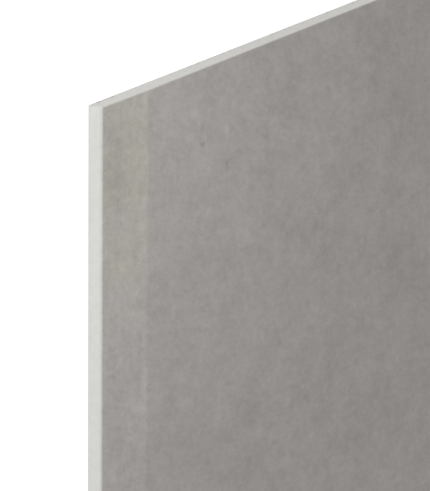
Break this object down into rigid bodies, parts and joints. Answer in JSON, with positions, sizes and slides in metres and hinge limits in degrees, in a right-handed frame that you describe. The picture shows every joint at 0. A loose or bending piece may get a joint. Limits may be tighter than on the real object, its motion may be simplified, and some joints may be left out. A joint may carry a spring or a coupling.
{
  "type": "tapered-edge drywall sheet",
  "caption": "Full gypsum board: an aerated gypsum core between a grey face paper that wraps the tapered long edges and a plain back paper, with square-cut ends.",
  "frame": {"origin": "middle of the back of the sheet, on the surface that it lies on", "axes": "+Y along the length, from one cut end to the other; +X across the width, towards one tapered long edge; +Z through the thickness, out of the face"},
  "size_m": [1.2, 2.4, 0.0125],
  "materials": {
    "gypsum": "sawn matte, finely porous",
    "face_paper": "matte, faintly clouded",
    "back_paper": "matte, fibrous"
  },
  "bodies": {
    "root": {"gypsum_core": "gypsum", "face_paper": "face_paper", "back_paper": "back_paper"}
  },
  "joints": []
}
